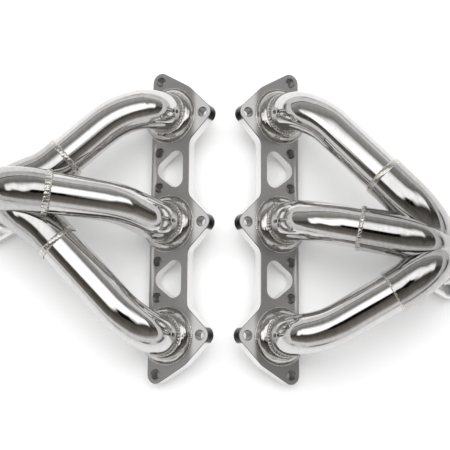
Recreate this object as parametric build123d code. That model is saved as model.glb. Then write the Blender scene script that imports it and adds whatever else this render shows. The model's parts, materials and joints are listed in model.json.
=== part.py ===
from build123d import *
import os
from math import asin, atan2, cos, hypot, radians, sin, tan

# Pair of three-into-one exhaust headers for a flat six-cylinder engine, lying as set down on a bench.
# Each header is a welded assembly: one thick head flange, three flared port collars, three bent
# primary tubes, three larger collector inlets that merge over a short collector, an outlet pipe and
# a three-bolt outlet flange, with the weld beads that join them.  Millimetres, +Z up.

os.makedirs("parts", exist_ok=True)

# ---------------------------------------------------------------- driving dimensions
PORT_PITCH = 118.0              # between neighbouring exhaust ports, along the flange
PORTS = {1: 1, 2: 0, 3: -1}     # cylinder number and its place along Y, in pitches

FLANGE_T = 12.7                 # head flange plate
FLANGE_TILT = 27.0              # the inner edge is raised, the outer edge lies on the bench
FLANGE_FACE_X = 70.65           # from the middle of the pair to the outer stud line, on the face
STUD_HALF = 39.8                # the two outer studs of a port, each side of its centre
STUD_IN = 51.7                  # the inner stud, in from the outer stud line
PORT_IN = 12.8                  # the port centre, in from the outer stud line
EAR_R = 9.8                     # metal round each stud hole
STUD_HOLE_R = 4.75
STUD_CHAMFER = 0.8
WAIST_IN = 36.1                 # inner edge between the ports
WAIST_R = 12.0
SHOULDER = (35.1, 30.4)         # corner of an end edge, from the end port
SHOULDER_R = 20.0
EDGE_CHAMFER = 0.6
PORT_BORE_R = 22.0
WINDOW = ((20.0, 11.0, 9.0), (20.0, -11.0, 9.0), (8.0, 0.0, 10.5))   # corner circles: in, along, radius

TUBE_R = 20.65                  # primary tube, 1 5/8 in outside
INLET_R = 22.25                 # collector inlet, 1 3/4 in outside
WALL = 1.5
SLIP = 6.0                      # how far a primary enters its inlet
COLLAR_BASE_R = 29.2
COLLAR_BULGE = (27.6, 5.6)      # radius and height of the collar's fullest point
COLLAR_TOP_R = 22.4
COLLAR_H = 10.0
COLLAR_FOOT_R = 25.5            # inside of the collar at the plate
PORT_LEAD = 24.0                # from the collar to the corner of the first bend
FIRST_BEND_R = 34.0

COLLECTOR_R = 27.0
COLLECTOR_BASE = 28.0           # seam between the collector and the outlet pipe
COLLECTOR_SHOULDER = 48.0       # where the collector's wall turns into its dome
OUTLET_T = 12.7
OUTLET_BODY_R = 38.0
OUTLET_EAR_R = 10.5
OUTLET_PCD_R = 38.8
OUTLET_HOLE_R = 4.75
OUTLET_CHAMFER = 1.2

BEAD = 1.7                      # leg of a port weld
SEAM = 1.6                      # half-height of a ring weld round a tube
FACE_Z = EAR_R * sin(radians(FLANGE_TILT)) + FLANGE_T * cos(radians(FLANGE_TILT))

# Corners of each tube's route.  "bend" is the corner after the port, "joint" is where the primary
# meets its inlet, "turn" is an optional corner after it, "crown" the corner over the collector and
# "end" a point inside it.
HEADERS = {
    "left": {
        "side": -1,
        "collector": (-238.0, 26.0),
        "ear_angle": -105.0,
        "routes": {
            1: dict(bend=(-110, 110, 60), bend_r=90, joint=0.77, turn=(-182, 45, 62), turn_r=70,
                    crown=(-223, 29, 64), crown_r=40, end=(-237, 24, 26)),
            2: dict(bend=(-108, 12, 76), bend_r=70, joint=0.58,
                    crown=(-228, 24, 104), crown_r=42, end=(-236, 25, 50)),
            3: dict(bend=(-102, -98, 59), bend_r=90, joint=0.82, turn=(-185, -10, 61), turn_r=80,
                    crown=(-218, 13, 63), crown_r=38, end=(-234, 22, 26)),
        },
    },
    "right": {
        "side": 1,
        "collector": (228.0, -29.0),
        "ear_angle": -75.0,
        "routes": {
            1: dict(bend=(102, 103, 64), bend_r=70, joint=0.583,
                    crown=(205, -6, 84), crown_r=56, end=(224, -27, 30)),
            2: dict(bend=(104, -6, 70), bend_r=80, joint=0.333,
                    crown=(206, -26, 84), crown_r=46, end=(222, -29, 34)),
            3: dict(bend=(103, -114, 62), bend_r=90, joint=0.84, turn=(181, -68, 75), turn_r=80,
                    crown=(208, -47, 84), crown_r=38, end=(226, -33, 30)),
        },
    },
}


# ---------------------------------------------------------------- places and paths
def port_plane(side, place):
    """Plane on a port: X runs in towards the middle of the pair, Z out along the port."""
    tilt = radians(FLANGE_TILT)
    inward = Vector(-side * cos(tilt), 0, sin(tilt))
    outward = Vector(side * sin(tilt), 0, cos(tilt))
    origin = Vector(side * FLANGE_FACE_X, place * PORT_PITCH, FACE_Z) + inward * PORT_IN
    return Plane(origin=origin, x_dir=inward, z_dir=outward)


def between(start, finish, share):
    """Point a given share of the way from one corner of a route to the next."""
    return Vector(*start) + (Vector(*finish) - Vector(*start)) * share


def primary_path(plane, route):
    """Route from the port collar to just inside the collector inlet."""
    after = route.get("turn", route["crown"])
    joint = between(route["bend"], after, route["joint"])
    along = (Vector(*after) - Vector(*route["bend"])).normalized()
    start = plane.origin + plane.z_dir * COLLAR_H
    corner = plane.origin + plane.z_dir * (COLLAR_H + PORT_LEAD)
    points = [start, corner, Vector(*route["bend"]), joint + along * SLIP]
    return FilletPolyline(*points, radius=[FIRST_BEND_R, route["bend_r"]])


def inlet_path(route):
    """Route from the joint, round the crown and down into the collector."""
    after = route.get("turn", route["crown"])
    points = [between(route["bend"], after, route["joint"])]
    radii = []
    if "turn" in route:
        points.append(Vector(*route["turn"]))
        radii.append(route["turn_r"])
    points += [Vector(*route["crown"]), Vector(*route["end"])]
    radii.append(route["crown_r"])
    return FilletPolyline(*points, radius=radii)


def rod(path, radius):
    """Solid round bar along a path."""
    return sweep(sections=Plane(origin=path @ 0, z_dir=path % 0) * Circle(radius), path=path)


def ring(plane, inner, outer, low, high):
    """Weld bead round an axis: flat underneath and against the tube, rounded outside."""
    foot = (outer, low)
    crest = (inner, high)
    middle = ((inner + 2.4 * outer) / 3.4, low + 0.68 * (high - low))
    profile = make_face([
        Line((inner, low), foot),
        ThreePointArc(foot, middle, crest),
        Line(crest, (inner, low)),
    ])
    return plane * revolve(Plane.XZ * profile, axis=Axis.Z)


def band(plane, inner, outer, half):
    """Weld bead round a butt joint: a flat inside and a rounded crown outside."""
    profile = make_face([
        Line((inner, -half), (inner, half)),
        ThreePointArc((inner, half), (outer, 0), (inner, -half)),
    ])
    return plane * revolve(Plane.XZ * profile, axis=Axis.Z)


# ---------------------------------------------------------------- pieces
def head_flange(side):
    """Plate with a three-cornered lobe for each port, lightening windows and nine stud holes."""
    tip = STUD_IN + EAR_R * 2 ** 0.5
    waist = tip - WAIST_IN
    drop = STUD_HALF - SHOULDER[1]
    fall = atan2(drop, SHOULDER[0]) + asin(EAR_R / hypot(SHOULDER[0], drop))
    end_rise = SHOULDER[1] + (SHOULDER[0] + EAR_R) * tan(fall)
    half = [(-EAR_R, PORT_PITCH + end_rise, EAR_R),
            (SHOULDER[0], PORT_PITCH + SHOULDER[1], SHOULDER_R),
            (tip, PORT_PITCH, EAR_R),
            (WAIST_IN, PORT_PITCH - waist, WAIST_R),
            (WAIST_IN, waist, WAIST_R)]
    corners = half + [(tip, 0, EAR_R)] + [(x, -y, radius) for x, y, radius in half[::-1]]
    plate = extrude(Polygon(*[(x, y) for x, y, radius in corners[::-1]], align=None), -FLANGE_T)
    for wanted in (EAR_R, SHOULDER_R, WAIST_R):
        places = [Vector(x, y, -FLANGE_T / 2) for x, y, radius in corners if radius == wanted]
        uprights = plate.edges().filter_by(Axis.Z)
        picked = [edge for edge in uprights if min((edge.center() - place).length for place in places) < 0.01]
        plate = fillet(picked, wanted)
    plate = chamfer(plate.edges().group_by(Axis.Z)[-1], EDGE_CHAMFER)
    plate = chamfer(plate.edges().group_by(Axis.Z)[0], EDGE_CHAMFER)
    window = make_hull([(Pos(x, y) * Circle(r)).edge() for x, y, r in WINDOW])
    for place in (0.5, -0.5):
        plate -= Pos(0, place * PORT_PITCH, -FLANGE_T) * extrude(window, FLANGE_T)
    for place in PORTS.values():
        centre = place * PORT_PITCH
        plate -= Pos(PORT_IN, centre, -FLANGE_T / 2) * Cylinder(PORT_BORE_R, FLANGE_T + 2)
        for x, y in ((0, STUD_HALF), (0, -STUD_HALF), (STUD_IN, 0)):
            plate -= Pos(x, centre + y, -FLANGE_T / 2) * Cylinder(STUD_HOLE_R, FLANGE_T + 2)
    rims = [edge for edge in plate.edges().filter_by(GeomType.CIRCLE) if abs(edge.radius - STUD_HOLE_R) < 0.01]
    plate = chamfer(rims, STUD_CHAMFER)
    plane = port_plane(side, 0)
    return Plane(origin=plane.origin - plane.x_dir * PORT_IN, x_dir=plane.x_dir, z_dir=plane.z_dir) * plate


def port_collar(plane):
    """Flared collar between the plate and the tube: domed outside, with a thinning wall."""
    bore = TUBE_R - WALL
    profile = make_face([
        Line((COLLAR_FOOT_R, 0), (COLLAR_BASE_R, 0)),
        ThreePointArc((COLLAR_BASE_R, 0), COLLAR_BULGE, (COLLAR_TOP_R, COLLAR_H)),
        Line((COLLAR_TOP_R, COLLAR_H), (bore, COLLAR_H)),
        ThreePointArc((bore, COLLAR_H), ((bore + 2 * COLLAR_FOOT_R) / 3, COLLAR_H / 2), (COLLAR_FOOT_R, 0)),
    ])
    return plane * revolve(Plane.XZ * profile, axis=Axis.Z)


def collector_body(centre, lift, shrink):
    """Round body with a domed top; shrink gives the space inside its wall."""
    radius = COLLECTOR_R - shrink
    wall = Pos(*centre, lift) * Cylinder(radius, COLLECTOR_SHOULDER - lift,
                                         align=(Align.CENTER, Align.CENTER, Align.MIN))
    return wall + Pos(*centre, COLLECTOR_SHOULDER) * Sphere(radius)


def outlet_flange(centre, ear_angle):
    """Round plate drawn out into three ears, bored for the outlet pipe."""
    ears = PolarLocations(OUTLET_PCD_R, 3, start_angle=ear_angle)
    circles = [Circle(OUTLET_BODY_R).edge()]
    lobes = [make_hull(circles + [(place * Circle(OUTLET_EAR_R)).edge()]) for place in ears]
    plate = extrude(lobes[0] + lobes[1] + lobes[2], OUTLET_T)
    plate = chamfer(plate.edges().group_by(Axis.Z)[-1], EDGE_CHAMFER)
    plate -= Pos(0, 0, OUTLET_T / 2) * Cylinder(COLLECTOR_R, OUTLET_T)
    for place in ears:
        plate -= place * Pos(0, 0, OUTLET_T / 2) * Cylinder(OUTLET_HOLE_R, OUTLET_T)
        plate -= place * Pos(0, 0, OUTLET_T - OUTLET_CHAMFER) * Cone(
            OUTLET_HOLE_R, OUTLET_HOLE_R + OUTLET_CHAMFER, OUTLET_CHAMFER,
            align=(Align.CENTER, Align.CENTER, Align.MIN))
    return Pos(*centre, 0) * plate


def header(name, spec):
    """All the pieces of one header, by node name."""
    side, centre = spec["side"], spec["collector"]
    pieces = {"head_flange": head_flange(side)}
    inlets, bores, joints = {}, {}, {}
    for number, place in PORTS.items():
        plane = port_plane(side, place)
        route = spec["routes"][number]
        path = primary_path(plane, route)
        top = Plane(origin=plane.origin + plane.z_dir * COLLAR_H, x_dir=plane.x_dir, z_dir=plane.z_dir)
        pieces[f"port_collar_{number}"] = port_collar(plane)
        pieces[f"port_weld_{number}"] = ring(plane, COLLAR_BASE_R, COLLAR_BASE_R + BEAD, 0, BEAD)
        pieces[f"collar_weld_{number}"] = ring(top, TUBE_R, COLLAR_TOP_R, 0, SEAM)
        bar = rod(path, TUBE_R)
        pieces[f"primary_tube_{number}"] = bar - rod(path, TUBE_R - WALL)
        feed = inlet_path(route)
        inlets[number] = rod(feed, INLET_R)
        bores[number] = rod(feed, TUBE_R)
        mouth = Plane(origin=feed @ 0, z_dir=(feed % 0) * -1)
        pieces[f"slip_weld_{number}"] = ring(mouth, TUBE_R, INLET_R + 0.5, 0, 2 * SEAM)
        joints[number] = [bar, pieces[f"slip_weld_{number}"]]
        print(name, number, "tube length", round(path.length, 1), "inlet length", round(feed.length, 1))
    skirt = Pos(*centre, 0) * Cylinder(2 * COLLECTOR_R, COLLECTOR_BASE + 2 * SEAM,
                                       align=(Align.CENTER, Align.CENTER, Align.MIN))
    outsides = [inlets[number] - skirt for number in (2, 1, 3)]
    hollows = [bores[2], bores[1], bores[3], collector_body(centre, COLLECTOR_BASE, WALL)]
    outsides.append(collector_body(centre, COLLECTOR_BASE, 0))
    for index, piece in enumerate(("collector_inlet_2", "collector_inlet_1", "collector_inlet_3", "collector")):
        taken = hollows + outsides[:index] + (joints[2] if index else [])
        pieces[piece] = ShapeList(outsides[index].cut(*taken).solids()).sort_by(SortBy.VOLUME)[-1]
    pipe = Pos(*centre, 0) * Cylinder(COLLECTOR_R, COLLECTOR_BASE, align=(Align.CENTER, Align.CENTER, Align.MIN))
    pipe -= Pos(*centre, 0) * Cylinder(COLLECTOR_R - WALL, COLLECTOR_BASE,
                                       align=(Align.CENTER, Align.CENTER, Align.MIN))
    pieces["outlet_pipe"] = pipe
    pieces["outlet_flange"] = outlet_flange(centre, spec["ear_angle"])
    seat = Plane(origin=(*centre, OUTLET_T))
    seam = Plane(origin=(*centre, COLLECTOR_BASE))
    pieces["outlet_weld"] = ring(seat, COLLECTOR_R, COLLECTOR_R + 2 * BEAD, 0, 2 * BEAD)
    pieces["collector_weld"] = band(seam, COLLECTOR_R, COLLECTOR_R + SEAM, 2 * SEAM)
    return {f"{name}_{piece}": shape for piece, shape in pieces.items()}


# ---------------------------------------------------------------- build, centre and write
nodes = {}
for header_name, header_spec in HEADERS.items():
    nodes.update(header(header_name, header_spec))

box = Compound(children=[shape.solids()[0] for shape in nodes.values()]).bounding_box()
shift = Vector(-(box.min.X + box.max.X) / 2, -(box.min.Y + box.max.Y) / 2, -box.min.Z)
print("shift", [round(value, 3) for value in shift], "size", [round(value, 2) for value in box.size])
for node, shape in nodes.items():
    moved = Pos(shift) * shape
    print(node, len(moved.solids()), round(moved.volume, 1), moved.is_valid)
    export_step(moved, f"parts/{node}.step")
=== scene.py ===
import bpy
import json
import numpy as np
from math import pi, radians
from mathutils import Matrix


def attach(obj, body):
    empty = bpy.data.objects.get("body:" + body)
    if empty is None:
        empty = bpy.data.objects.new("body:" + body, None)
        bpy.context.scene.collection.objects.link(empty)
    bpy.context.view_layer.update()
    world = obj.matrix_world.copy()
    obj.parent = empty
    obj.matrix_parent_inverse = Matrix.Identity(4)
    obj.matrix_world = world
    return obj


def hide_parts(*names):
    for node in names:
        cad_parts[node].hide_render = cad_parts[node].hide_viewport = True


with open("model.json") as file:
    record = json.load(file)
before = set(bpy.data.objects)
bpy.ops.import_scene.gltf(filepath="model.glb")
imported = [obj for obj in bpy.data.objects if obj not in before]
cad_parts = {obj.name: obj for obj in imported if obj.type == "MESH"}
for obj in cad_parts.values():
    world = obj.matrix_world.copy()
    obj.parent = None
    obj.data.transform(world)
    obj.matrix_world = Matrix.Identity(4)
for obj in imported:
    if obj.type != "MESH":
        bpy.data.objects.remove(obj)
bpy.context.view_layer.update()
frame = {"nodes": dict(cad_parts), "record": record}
mounts = {mount["name"]: mount for mount in frame["record"]["mounts"]}
MM = 0.001
HEADERS = ("left", "right")
PORTS = (1, 2, 3)

# ---------------------------------------------------------------- head flanges
# Each head flange is one thick stainless plate, cut with a lobe, three stud holes and a port bore for
# every cylinder, and with two D-shaped windows.  Its face is finely machined to a satin grey, and the
# lobes and the chamfers are brighter.  Light and shade are painted on as well: a thin painted dark
# reflection along each chamfer just below the face, a nearly black painted reflection on the sides of
# the rounded lobe tips, and painted shade on the walls of the stud holes.
FLANGE_T = 12.7 * MM
PORT_TO_STUDS = 12.8 * MM
LOBE_BRIGHT_FROM = 37 * MM
LOBE_BRIGHT_TO = 47 * MM
# where the nearly black painted reflection on the sides of the lobe tips begins, across the flange
TIP_DARK_FROM = 57 * MM
STUD_RIM = 0.7  # how far a stud hole's chamfer reaches past its wall, in mm


def port_axes(name, port):
    """Port centre on the flange's face, the way out along the port, and the way in across the flange."""
    mount = mounts[f"{name}_port_{port}_bore"]
    out = -np.array(mount["axis"])
    centre = np.array(mount["pos_m"]) + out * FLANGE_T / 2
    inward = np.cross(out, (0, 1, 0)) * (1 if name == "left" else -1)
    return centre, out, inward * np.sign(inward[2])


def finish(name, base, metallic, roughness):
    """New Principled material with its shader's plain values set, its node tree and its shader."""
    material = bpy.data.materials.new(name)
    material.use_nodes = True
    tree = material.node_tree
    shader = tree.nodes["Principled BSDF"]
    shader.inputs["Base Color"].default_value = (*base, 1)
    shader.inputs["Metallic"].default_value = metallic
    shader.inputs["Roughness"].default_value = roughness
    return material, tree, shader


def place_noise(tree, scale, detail, stretch=(1, 1, 1)):
    """Noise over the piece's own coordinates, about `scale` patches to the metre."""
    coords = tree.nodes.new("ShaderNodeTexCoord")
    mapping = tree.nodes.new("ShaderNodeMapping")
    mapping.inputs["Scale"].default_value = stretch
    noise = tree.nodes.new("ShaderNodeTexNoise")
    noise.inputs["Scale"].default_value = scale
    noise.inputs["Detail"].default_value = detail
    tree.links.new(coords.outputs["Object"], mapping.inputs["Vector"])
    tree.links.new(mapping.outputs["Vector"], noise.inputs["Vector"])
    return noise.outputs["Fac"]


def spread(tree, source, low, high, start=0.0, stop=1.0):
    """A value that goes from `start` to `stop` as the source goes from `low` to `high`, held at both ends."""
    node = tree.nodes.new("ShaderNodeMapRange")
    node.interpolation_type = "SMOOTHSTEP"
    for socket, value in (("From Min", low), ("From Max", high), ("To Min", start), ("To Max", stop)):
        node.inputs[socket].default_value = value
    tree.links.new(source, node.inputs["Value"])
    return node.outputs["Result"]


def product(tree, first, second):
    """First value times second."""
    node = tree.nodes.new("ShaderNodeMath")
    node.operation = "MULTIPLY"
    tree.links.new(first, node.inputs[0])
    tree.links.new(second, node.inputs[1])
    return node.outputs[0]


def blend_colours(tree, share, first, second):
    """Colour that goes from the first to the second with the share; either may be a plain colour."""
    node = tree.nodes.new("ShaderNodeMix")
    node.data_type = "RGBA"
    tree.links.new(share, node.inputs["Factor"])
    for socket, colour in ((node.inputs[6], first), (node.inputs[7], second)):
        if isinstance(colour, tuple):
            socket.default_value = (*colour, 1)
        else:
            tree.links.new(colour, socket)
    return node.outputs[2]


def relief(tree, shader, height, strength, distance):
    """Fine relief on the surface from a height value."""
    node = tree.nodes.new("ShaderNodeBump")
    node.inputs["Strength"].default_value = strength
    node.inputs["Distance"].default_value = distance
    tree.links.new(height, node.inputs["Height"])
    tree.links.new(node.outputs["Normal"], shader.inputs["Normal"])


def reach_along(tree, origin, direction):
    """Distance of a point from the origin, measured along the direction."""
    coords = tree.nodes.new("ShaderNodeTexCoord")
    offset = tree.nodes.new("ShaderNodeVectorMath")
    offset.operation = "SUBTRACT"
    offset.inputs[1].default_value = tuple(origin)
    along = tree.nodes.new("ShaderNodeVectorMath")
    along.operation = "DOT_PRODUCT"
    along.inputs[1].default_value = tuple(direction)
    tree.links.new(coords.outputs["Object"], offset.inputs[0])
    tree.links.new(offset.outputs["Vector"], along.inputs[0])
    return along.outputs["Value"]


def machined_face(name):
    """Satin machined steel, brighter on the lobes and sides, with painted shade on the stud hole walls, a
    thin painted dark reflection along the chamfer and a nearly black painted reflection at the lobe tips.
    """
    centre, out, inward = port_axes(name, 2)
    material, tree, shader = finish(f"{name}_machined_flange", (0.45, 0.44, 0.435), 0.9, 0.36)
    across = reach_along(tree, centre - inward * PORT_TO_STUDS, inward)
    depth = reach_along(tree, centre, -out)
    lobe = spread(tree, across, LOBE_BRIGHT_FROM, LOBE_BRIGHT_TO)
    side = spread(tree, depth, 0.5 * MM, 1.0 * MM)
    face = spread(tree, depth, 0.3 * MM, 0.8 * MM, 1.0, 0.0)
    # painted reflection: the sides of the rounded lobe tips are painted nearly black for the dark they mirror
    tip_dark_reflection = product(tree, spread(tree, across, TIP_DARK_FROM, TIP_DARK_FROM + 1.5 * MM), side)
    bright = product(tree, lobe, face)
    grain = place_noise(tree, 2200, 3)
    grey = blend_colours(tree, spread(tree, grain, 0.35, 0.65), (0.34, 0.33, 0.325), (0.45, 0.44, 0.435))
    plate = blend_colours(tree, side, grey, (0.80, 0.79, 0.78))
    lobed = blend_colours(tree, bright, plate, (0.60, 0.595, 0.59))
    # painted reflection: a thin dark band just below the face's edge stands in for the dark that the chamfer
    # mirrors
    chamfer_dark_reflection = product(tree, spread(tree, depth, 0.1 * MM, 0.2 * MM),
                    spread(tree, depth, 0.6 * MM, 0.7 * MM, 1, 0))
    edged = blend_colours(tree, chamfer_dark_reflection, lobed, (0.12, 0.12, 0.12))
    tipped = blend_colours(tree, tip_dark_reflection, edged, (0.03, 0.03, 0.03))
    # painted shade: the stud hole walls get a darker colour that stands in for the shade inside the holes
    hole_shade = tree.nodes.new("ShaderNodeAttribute")
    hole_shade.attribute_name = "stud_hole"
    colour = blend_colours(tree, hole_shade.outputs["Fac"], tipped, (0.20, 0.196, 0.19))
    tree.links.new(colour, shader.inputs["Base Color"])
    tree.links.new(spread(tree, bright, 0, 1, 0.92, 0.45), shader.inputs["Metallic"])
    tree.links.new(spread(tree, side, 0, 1, 0.36, 0.14), shader.inputs["Roughness"])
    relief(tree, shader, grain, 0.12, 0.0001)
    return material


def smooth_copy(node, piece_name, material, body, crease=32):
    """New piece over a CAD node: its triangles merged, with corners sharper than `crease` degrees kept."""
    mesh = frame["nodes"][node].data.copy()
    piece = bpy.data.objects.new(piece_name, mesh)
    bpy.context.scene.collection.objects.link(piece)
    weld = piece.modifiers.new("merge", "WELD")
    weld.merge_threshold = 0.002 * MM
    bpy.context.view_layer.update()
    merged = bpy.data.meshes.new_from_object(piece.evaluated_get(bpy.context.evaluated_depsgraph_get()))
    piece.modifiers.clear()
    piece.data = merged
    merged.polygons.foreach_set("use_smooth", np.ones(len(merged.polygons), bool))
    merged.set_sharp_from_angle(angle=radians(crease))
    merged.materials.clear()
    merged.materials.append(material)
    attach(piece, body)
    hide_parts(node)
    return piece


def mark_stud_holes(plate, name):
    """Face value "stud_hole", the mask for the painted shade in the stud holes: one on the walls of the
    stud holes, found as the faces that lean away from the face of the plate within a hole's radius of the
    hole's axis, and zero on the rest."""
    faces = len(plate.data.polygons)
    middles, normals = np.empty(faces * 3), np.empty(faces * 3)
    plate.data.polygons.foreach_get("center", middles)
    plate.data.polygons.foreach_get("normal", normals)
    middles, normals = middles.reshape(-1, 3), normals.reshape(-1, 3)
    in_hole = np.zeros(faces, bool)
    patterns = [mount for mount in mounts.values()
                if mount["name"].startswith(name) and mount["dims"].get("count") == 2]
    for pattern in patterns:
        axis = np.array(pattern["axis"])
        for end in (-0.5, 0.5):
            hole = np.array(pattern["pos_m"]) + (0, end * pattern["dims"]["pcd_mm"] * MM, 0)
            offset = middles - hole
            distance = np.linalg.norm(offset - (offset @ axis)[:, None] * axis, axis=1)
            reach = (pattern["dims"]["hole_r_mm"] + STUD_RIM) * MM
            in_hole |= (distance < reach) & (np.abs(normals @ axis) < 0.9)
    plate.data.attributes.new("stud_hole", "FLOAT", "FACE").data.foreach_set("value", in_hole.astype(float))


for header in HEADERS:
    plate = smooth_copy(f"{header}_head_flange", f"{header}_flange_plate", machined_face(header),
                        f"{header}_header", 20)
    mark_stud_holes(plate, header)

# ---------------------------------------------------------------- port collars
# A collar is pressed from stainless sheet and flares from the tube out to the flange.  It is polished
# with the tube, so it mirrors the studio, with the slight waves that hand polishing leaves.
COLLAR_H = 10.0 * MM
COLLAR_BASE_R = 29.2 * MM
COLLAR_TOP_R = 22.4 * MM
COLLAR_FOOT_R = 25.5 * MM
TUBE_R = 20.65 * MM
TUBE_WALL = 1.5 * MM


def polished_steel(name, wave, wave_scale, tone_dark, tone_light):
    """Mirror-polished stainless: long shallow waves bend what it mirrors, and faint streaks cross it."""
    material, tree, shader = finish(name, tone_dark, 1.0, 0.055)
    waves = place_noise(tree, wave_scale, 2)
    streaks = place_noise(tree, 260, 3, (1, 0.4, 1))
    tree.links.new(spread(tree, streaks, 0.35, 0.75, 0.035, 0.11), shader.inputs["Roughness"])
    tone = blend_colours(tree, spread(tree, streaks, 0.3, 0.7), tone_dark, tone_light)
    tree.links.new(tone, shader.inputs["Base Color"])
    relief(tree, shader, waves, wave, 0.001)
    return material


def grid_piece(name, grid, material, body, nodes, crease=40, close_along=True):
    """Mesh on a grid of points: rows follow the first index and always close round the second."""
    rows, around = grid.shape[:2]
    first = np.arange(rows if close_along else rows - 1)
    i, j = np.meshgrid(first, np.arange(around), indexing="ij")
    after, beside = (i + 1) % rows, (j + 1) % around
    corners = ((i, j), (after, j), (after, beside), (i, beside))
    faces = np.stack([a * around + b for a, b in corners], axis=-1).reshape(-1, 4)
    points = grid.reshape(-1, 3)
    a, b, c, d = (points[faces[:, k]] for k in range(4))
    if np.einsum("ij,ij->i", a, np.cross(b, c)).sum() + np.einsum("ij,ij->i", a, np.cross(c, d)).sum() < 0:
        faces = faces[:, ::-1]
    mesh = bpy.data.meshes.new(name)
    mesh.from_pydata(points, [], faces.tolist())
    mesh.polygons.foreach_set("use_smooth", np.ones(len(faces), bool))
    mesh.set_sharp_from_angle(angle=radians(crease))
    mesh.materials.append(material)
    piece = bpy.data.objects.new(name, mesh)
    bpy.context.scene.collection.objects.link(piece)
    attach(piece, body)
    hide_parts(*nodes)
    return piece


def turned(profile, centre, axis, around=144):
    """Grid of a closed profile of (radius, height) pairs turned about an axis through the centre."""
    side = np.cross(axis, (0, 1, 0))
    side = side / np.linalg.norm(side)
    other = np.cross(axis, side)
    turn = np.linspace(0, 2 * pi, around, endpoint=False)[None, :, None]
    radius, height = (np.array(values)[:, None, None] for values in zip(*profile))
    return centre + radius * (np.cos(turn) * side + np.sin(turn) * other) + height * axis


collar_steel = polished_steel("collar_steel", 0.9, 80, (0.44, 0.43, 0.415), (0.58, 0.57, 0.555))
for header in HEADERS:
    for port in PORTS:
        centre, out, inward = port_axes(header, port)
        rise = np.linspace(0, 1, 14)
        outside = COLLAR_TOP_R + (COLLAR_BASE_R - COLLAR_TOP_R) * (1 - rise ** 2) ** 0.7
        inside = COLLAR_FOOT_R + (TUBE_R - TUBE_WALL - COLLAR_FOOT_R) * rise ** 0.8
        wall = list(zip(outside, rise * COLLAR_H)) + list(zip(inside[::-1], rise[::-1] * COLLAR_H))
        grid_piece(f"{header}_collar_{port}", turned(wall, centre, out), collar_steel,
                   f"{header}_header", [f"{header}_port_collar_{port}"])

# ---------------------------------------------------------------- primary tubes
# Six primary tubes are mandrel-bent from 41.3 mm stainless tube, each on its own route from a port to
# its slip joint, and polished to a mirror.  A route is straight runs between rounded corners.
PAIR_SHIFT = (5.0, 0.0, 0.0)
PORT_LEAD = 24.0 * MM
FIRST_BEND_R = 34.0 * MM
SLIP = 6.0 * MM
ROUTES = {
    "left": {
        1: dict(bend=(-110, 110, 60), bend_r=90, joint=0.77, turn=(-182, 45, 62), turn_r=70,
                crown=(-223, 29, 64), crown_r=40, end=(-237, 24, 26)),
        2: dict(bend=(-108, 12, 76), bend_r=70, joint=0.58,
                crown=(-228, 24, 104), crown_r=42, end=(-236, 25, 50)),
        3: dict(bend=(-102, -98, 59), bend_r=90, joint=0.82, turn=(-185, -10, 61), turn_r=80,
                crown=(-218, 13, 63), crown_r=38, end=(-234, 22, 26)),
    },
    "right": {
        1: dict(bend=(102, 103, 64), bend_r=70, joint=0.583,
                crown=(205, -6, 84), crown_r=56, end=(224, -27, 30)),
        2: dict(bend=(104, -6, 70), bend_r=80, joint=0.333,
                crown=(206, -26, 84), crown_r=46, end=(222, -29, 34)),
        3: dict(bend=(103, -114, 62), bend_r=90, joint=0.84, turn=(181, -68, 75), turn_r=80,
                crown=(208, -47, 84), crown_r=38, end=(226, -33, 30)),
    },
}


def unit(vector):
    """The vector at length one."""
    return vector / np.linalg.norm(vector)


def corner_at(route, corner):
    """A corner of a route, in metres in the frame of the pair."""
    return (np.array(route[corner]) + PAIR_SHIFT) * MM


def joint_at(route):
    """Where a primary meets its inlet, and the way the tube runs there."""
    start, finish_at = corner_at(route, "bend"), corner_at(route, "turn" if "turn" in route else "crown")
    run = finish_at - start
    return start + run * route["joint"], run / np.linalg.norm(run)


def bent_line(corners, radii, pitch=3.0 * MM):
    """Centreline and its directions: straight runs, and at each corner an arc of the given radius,
    which starts and ends radius * tan(turn / 2) from the corner."""
    points, ways = [corners[0]], [unit(corners[1] - corners[0])]
    for before, corner, after, radius in zip(corners, corners[1:], corners[2:], radii):
        way_in, way_out = unit(corner - before), unit(after - corner)
        turn = np.arccos(np.clip(way_in @ way_out, -1, 1))
        inside = unit(way_out - way_in * (way_in @ way_out))
        start = corner - way_in * radius * np.tan(turn / 2)
        angle = np.linspace(0, turn, int(radius * turn / pitch) + 3)[:, None]
        points += list(start + radius * (np.sin(angle) * way_in + (1 - np.cos(angle)) * inside))
        ways += list(np.cos(angle) * way_in + np.sin(angle) * inside)
    return np.array(points + [corners[-1]]), np.array(ways + [unit(corners[-1] - corners[-2])])


def tube_wall(line, ways, outer, inner, around=96):
    """Grid of a tube's wall: circles square to the line, out along the outside and back along the bore."""
    side = (0, 1, 0) - ways * ways[:, 1:2]
    side = side / np.linalg.norm(side, axis=1)[:, None]
    other = np.cross(ways, side)
    turn = np.linspace(0, 2 * pi, around, endpoint=False)[None, :, None]
    ring = np.cos(turn) * side[:, None] + np.sin(turn) * other[:, None]
    outside = line[:, None] + outer * ring
    bore = line[:, None] + inner * ring
    return np.concatenate([outside, bore[::-1]])


tube_steel = polished_steel("tube_steel", 0.14, 16, (0.60, 0.588, 0.575), (0.66, 0.65, 0.64))
for header in HEADERS:
    for port in PORTS:
        route = ROUTES[header][port]
        centre, out, inward = port_axes(header, port)
        joint, way = joint_at(route)
        corners = [centre + out * COLLAR_H, centre + out * (COLLAR_H + PORT_LEAD), corner_at(route, "bend"),
                   joint + way * SLIP]
        line, ways = bent_line(corners, [FIRST_BEND_R, route["bend_r"] * MM])
        grid_piece(f"{header}_tube_{port}", tube_wall(line, ways, TUBE_R, TUBE_R - TUBE_WALL), tube_steel,
                   f"{header}_header", [f"{header}_primary_tube_{port}"])

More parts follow.
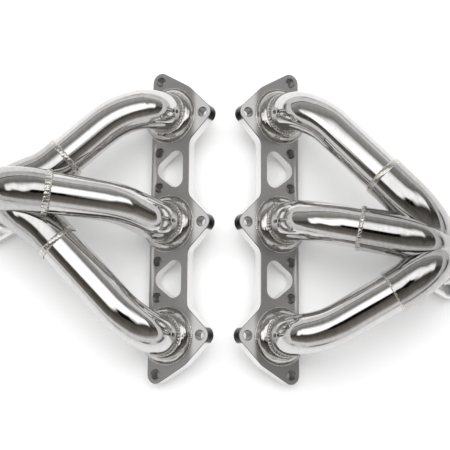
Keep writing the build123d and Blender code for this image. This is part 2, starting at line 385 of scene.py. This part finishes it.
# ---------------------------------------------------------------- collector inlets
# The inlets are 44.5 mm tube, a size up, so that a primary slips into each.  They turn down over the
# collector, and are welded and polished into one another along sharp creases.  The real ones are cut
# where they meet; here each keeps its full length, and they pass through each other inside the merge.
INLET_R = 22.25 * MM
inlet_steel = polished_steel("inlet_steel", 0.16, 14, (0.45, 0.442, 0.433), (0.51, 0.502, 0.493))
for header in HEADERS:
    for port in PORTS:
        route = ROUTES[header][port]
        corners = [joint_at(route)[0]]
        radii = []
        if "turn" in route:
            corners.append(corner_at(route, "turn"))
            radii.append(route["turn_r"] * MM)
        corners += [corner_at(route, "crown"), corner_at(route, "end")]
        radii.append(route["crown_r"] * MM)
        line, ways = bent_line(corners, radii)
        grid_piece(f"{header}_inlet_{port}", tube_wall(line, ways, INLET_R, TUBE_R + 0.05 * MM), inlet_steel,
                   f"{header}_header", [f"{header}_collector_inlet_{port}"])

# ---------------------------------------------------------------- collectors and outlet flanges
# Under each merge a short round collector stands on an outlet pipe, and a machined three-ear flange
# is welded to the pipe's foot for the next part of the exhaust.
for header in HEADERS:
    smooth_copy(f"{header}_collector", f"{header}_collector_shell", tube_steel, f"{header}_header")
    smooth_copy(f"{header}_outlet_pipe", f"{header}_outlet_tube", tube_steel, f"{header}_header")
outlet_steel, tree, shader = finish("outlet_flange_steel", (0.74, 0.735, 0.73), 0.75, 0.3)
relief(tree, shader, place_noise(tree, 1800, 3), 0.1, 0.0001)
for header in HEADERS:
    smooth_copy(f"{header}_outlet_flange", f"{header}_outlet_plate", outlet_steel, f"{header}_header",
                25)

# ---------------------------------------------------------------- weld beads
# Every joint is closed by a hand-laid weld bead: overlapping pools of metal that leave a scalloped
# ring, bright on the crowns and darker between them.
PORT_BEAD_R = 29.9 * MM
COLLAR_BEAD_R = 21.3 * MM
SLIP_BEAD_R = 21.6 * MM
OUTLET_BEAD_R = 27.6 * MM
OUTLET_BEAD_H = 13.6 * MM
COLLECTOR_BEAD_H = 28 * MM


def bead_ring(centre, axis, radius, half_width, height, pools, rough=0.2):
    """Grid of a bead round an axis: a flattened circle carried round, swelling once for each pool,
    with slower swells of its own so that no two pools are alike."""
    side = unit(np.cross(axis, (0.0, 1.0, 0.0)))
    other = np.cross(axis, side)
    turn = np.linspace(0, 2 * pi, pools * 6, endpoint=False)[None, :, None]
    section = np.linspace(0, 2 * pi, 14, endpoint=False)[:, None, None]
    swell = 1 - rough + rough * np.abs(np.sin(turn * pools / 2))
    swell = swell * (1 + 0.35 * rough * (np.sin(5 * turn + pools) + np.sin(13 * turn) * 0.6))
    reach = radius + height * swell * np.cos(section)
    along = half_width * swell * np.sin(section)
    return centre + reach * (np.cos(turn) * side + np.sin(turn) * other) + along * axis


bead_steel, tree, shader = finish("weld_bead_steel", (0.66, 0.64, 0.61), 1.0, 0.2)
speckle = place_noise(tree, 900, 5)
tree.links.new(blend_colours(tree, spread(tree, speckle, 0.3, 0.7), (0.42, 0.39, 0.36), (0.80, 0.78, 0.75)),
               shader.inputs["Base Color"])
tree.links.new(spread(tree, speckle, 0.3, 0.7, 0.32, 0.12), shader.inputs["Roughness"])
relief(tree, shader, speckle, 0.5, 0.0004)
SLIP_BEADS = {
    "left": {1: (3.3, 1.3, 0.10), 2: (4.0, 1.5, 0.22), 3: (3.4, 1.2, 0.12)},
    "right": {1: (3.6, 1.0, 0.05), 2: (2.6, 1.5, 0.25), 3: (1.5, 0.9, 0.25)},
}
for header in HEADERS:
    body = f"{header}_header"
    for port in PORTS:
        centre, out, inward = port_axes(header, port)
        joint, way = joint_at(ROUTES[header][port])
        slip_half, slip_height, slip_rough = SLIP_BEADS[header][port]
        beads = (
            ("port_weld", "port_bead", centre + out * 0.4 * MM, out, PORT_BEAD_R,
             1.2 * MM, 1.0 * MM, 90, 0.08),
            ("collar_weld", "collar_bead", centre + out * (COLLAR_H + 0.3 * MM), out, COLLAR_BEAD_R,
             1.8 * MM, 1.3 * MM, 40, 0.25),
            ("slip_weld", "slip_bead", joint - way * slip_half * 0.4 * MM, way, SLIP_BEAD_R,
             slip_half * MM, slip_height * MM, 34, slip_rough),
        )
        for node, piece, place, axis, radius, half_width, height, pools, rough in beads:
            bead = bead_ring(place, axis, radius, half_width, height, pools, rough)
            grid_piece(f"{header}_{piece}_{port}", bead, bead_steel, body, [f"{header}_{node}_{port}"],
                       70)
    outlet = np.array(mounts[f"{header}_outlet_bore"]["pos_m"])
    outlet[2] = 0
    up = np.array((0.0, 0.0, 1.0))
    lower_beads = (
        ("outlet_weld", "outlet_bead", OUTLET_BEAD_H, 2.4 * MM),
        ("collector_weld", "collector_bead", COLLECTOR_BEAD_H, 2.6 * MM),
    )
    for node, piece, height_at, half_width in lower_beads:
        grid_piece(f"{header}_{piece}", bead_ring(outlet + up * height_at, up, OUTLET_BEAD_R, half_width,
                                                  1.6 * MM, 46),
                   bead_steel, body, [f"{header}_{node}"], 70)

# ---------------------------------------------------------------- studio
# A white table top under one large soft light behind the pair, with dark panels in front of it that
# give the polished steel something to mirror.
table_mesh = bpy.data.meshes.new("table_top")
table_mesh.from_pydata([(-6, -6, 0), (6, -6, 0), (6, 6, 0), (-6, 6, 0)], [], [(0, 1, 2, 3)])
table = bpy.data.objects.new("table_top", table_mesh)
bpy.context.scene.collection.objects.link(table)
table_mesh.materials.append(finish("white_table", (0.96, 0.96, 0.96), 0.0, 0.6)[0])


CEILING_H = 1.4
CEILING_HALF = (3.6, 2.6)
STRIP_HALF = 1.5


def overhead_panel():
    """Glowing card over the pair, seen only in reflections: a bright strip that runs along X, grey behind
    it and a dark brown stretch in front, with a black patch where the camera hides the light."""
    mesh = bpy.data.meshes.new("overhead_panel")
    half_x, half_y = CEILING_HALF
    corners = ((-half_x, -half_y), (half_x, -half_y), (half_x, half_y), (-half_x, half_y))
    mesh.from_pydata([(x, y, CEILING_H) for x, y in corners], [], [(3, 2, 1, 0)])
    card = bpy.data.objects.new("overhead_panel", mesh)
    bpy.context.scene.collection.objects.link(card)
    material = bpy.data.materials.new("overhead_panel")
    material.use_nodes = True
    tree = material.node_tree
    tree.nodes.clear()
    sway = spread(tree, place_noise(tree, 1.2, 1), 0.3, 0.7, -0.16, 0.16)
    depth = reach_along(tree, (0, 0, 0), (-0.12, 1, 0))
    width = reach_along(tree, (0, 0, 0), (1, 0, 0))
    swayed = tree.nodes.new("ShaderNodeMath")
    tree.links.new(depth, swayed.inputs[0])
    tree.links.new(sway, swayed.inputs[1])
    place = swayed.outputs[0]
    front = blend_colours(tree, spread(tree, place, -1.7, -0.3), (0.24, 0.22, 0.20), (0.07, 0.063, 0.056))
    rear = blend_colours(tree, spread(tree, place, 0.4, 2.2), (0.24, 0.232, 0.22), (0.50, 0.49, 0.48))
    dim = blend_colours(tree, spread(tree, place, -0.1, 0.2), front, rear)
    strip = product(tree, spread(tree, place, -0.44, -0.04), spread(tree, place, 0.22, 0.85, 1, 0))
    ends = product(tree, spread(tree, width, -STRIP_HALF - 0.3, -STRIP_HALF),
                   spread(tree, width, STRIP_HALF, STRIP_HALF + 0.3, 1, 0))
    lit = blend_colours(tree, product(tree, strip, ends), dim, (1.8, 1.8, 1.8))
    far = blend_colours(tree, spread(tree, depth, -2.3, -1.7), (0.55, 0.54, 0.53), lit)
    patch_depth = product(tree, spread(tree, place, -0.60, -0.50), spread(tree, place, -0.26, -0.20, 1, 0))
    patch_width = product(tree, spread(tree, width, -0.30, -0.22), spread(tree, width, 0.18, 0.26, 1, 0))
    shaded = blend_colours(tree, product(tree, patch_depth, patch_width), far, (0.004, 0.004, 0.004))
    rim = spread(tree, depth, 2.30, 2.46)
    edged = blend_colours(tree, rim, shaded, (0.16, 0.155, 0.15))
    glow = tree.nodes.new("ShaderNodeEmission")
    tree.links.new(edged, glow.inputs["Color"])
    end = tree.nodes.new("ShaderNodeOutputMaterial")
    tree.links.new(glow.outputs["Emission"], end.inputs["Surface"])
    mesh.materials.append(material)
    return card


def reflected_only(card):
    """Hides a studio card from the camera and from everything but mirrors."""
    card.visible_camera = False
    card.visible_diffuse = False
    card.visible_shadow = False


reflected_only(overhead_panel())

HORIZON_R = 2.6
HORIZON_FOOT = 0.02
HORIZON_H = 0.75
HORIZON_POSTS = 96


def horizon_band():
    """Glowing band round the pair, seen only in reflections: a ring of quads with its foot near the table,
    pale at the top and fading to dark low down, and only in places, as the clutter of a studio does."""
    posts = HORIZON_POSTS
    turn = np.linspace(0, 2 * pi, posts, endpoint=False)
    foot = np.full(posts, HORIZON_FOOT)
    low = np.stack([HORIZON_R * np.cos(turn), HORIZON_R * np.sin(turn), foot], axis=-1)
    quads = [(k, (k + 1) % posts, posts + (k + 1) % posts, posts + k) for k in range(posts)]
    mesh = bpy.data.meshes.new("horizon_band")
    mesh.from_pydata(np.concatenate([low, low + (0, 0, HORIZON_H)]).tolist(), [], quads)
    card = bpy.data.objects.new("horizon_band", mesh)
    bpy.context.scene.collection.objects.link(card)
    material = bpy.data.materials.new("horizon_band")
    material.use_nodes = True
    tree = material.node_tree
    tree.nodes.clear()
    height = reach_along(tree, (0, 0, 0), (0, 0, 1))
    places = spread(tree, place_noise(tree, 0.7, 1), 0.42, 0.62)
    low_down = product(tree, spread(tree, height, 0.03, 0.2), spread(tree, height, 0.2, 0.6, 1, 0))
    dusk = product(tree, low_down, places)
    glow = tree.nodes.new("ShaderNodeEmission")
    tree.links.new(blend_colours(tree, dusk, (0.84, 0.84, 0.84), (0.10, 0.096, 0.09)), glow.inputs["Color"])
    end = tree.nodes.new("ShaderNodeOutputMaterial")
    tree.links.new(glow.outputs["Emission"], end.inputs["Surface"])
    mesh.materials.append(material)
    return card


reflected_only(horizon_band())

key_data = bpy.data.lights.new("soft_key", "AREA")
key_data.shape = "RECTANGLE"
key_data.size = 2.6
key_data.size_y = 1.7
key_data.energy = 30
key = bpy.data.objects.new("soft_key", key_data)
key.location = (0.0, 0.92, 1.8)
key.rotation_euler = (-radians(27), 0, 0)
key.visible_camera = False
key.visible_glossy = False
bpy.context.scene.collection.objects.link(key)

world = bpy.data.worlds.new("studio_air")
world.use_nodes = True
world.node_tree.nodes["Background"].inputs["Color"].default_value = (1, 1, 1, 1)
world.node_tree.nodes["Background"].inputs["Strength"].default_value = 0.86
bpy.context.scene.world = world
bpy.context.scene.view_settings.view_transform = "Standard"

camera_data = bpy.data.cameras.new("camera")
camera_data.sensor_width = 36.0
camera_data.lens = 75.04
camera = bpy.data.objects.new("camera", camera_data)
camera.location = (0.00686, -0.16679, 1.0017)
camera.rotation_euler = (radians(9.6), 0, radians(0.45))
bpy.context.scene.collection.objects.link(camera)
bpy.context.scene.camera = camera
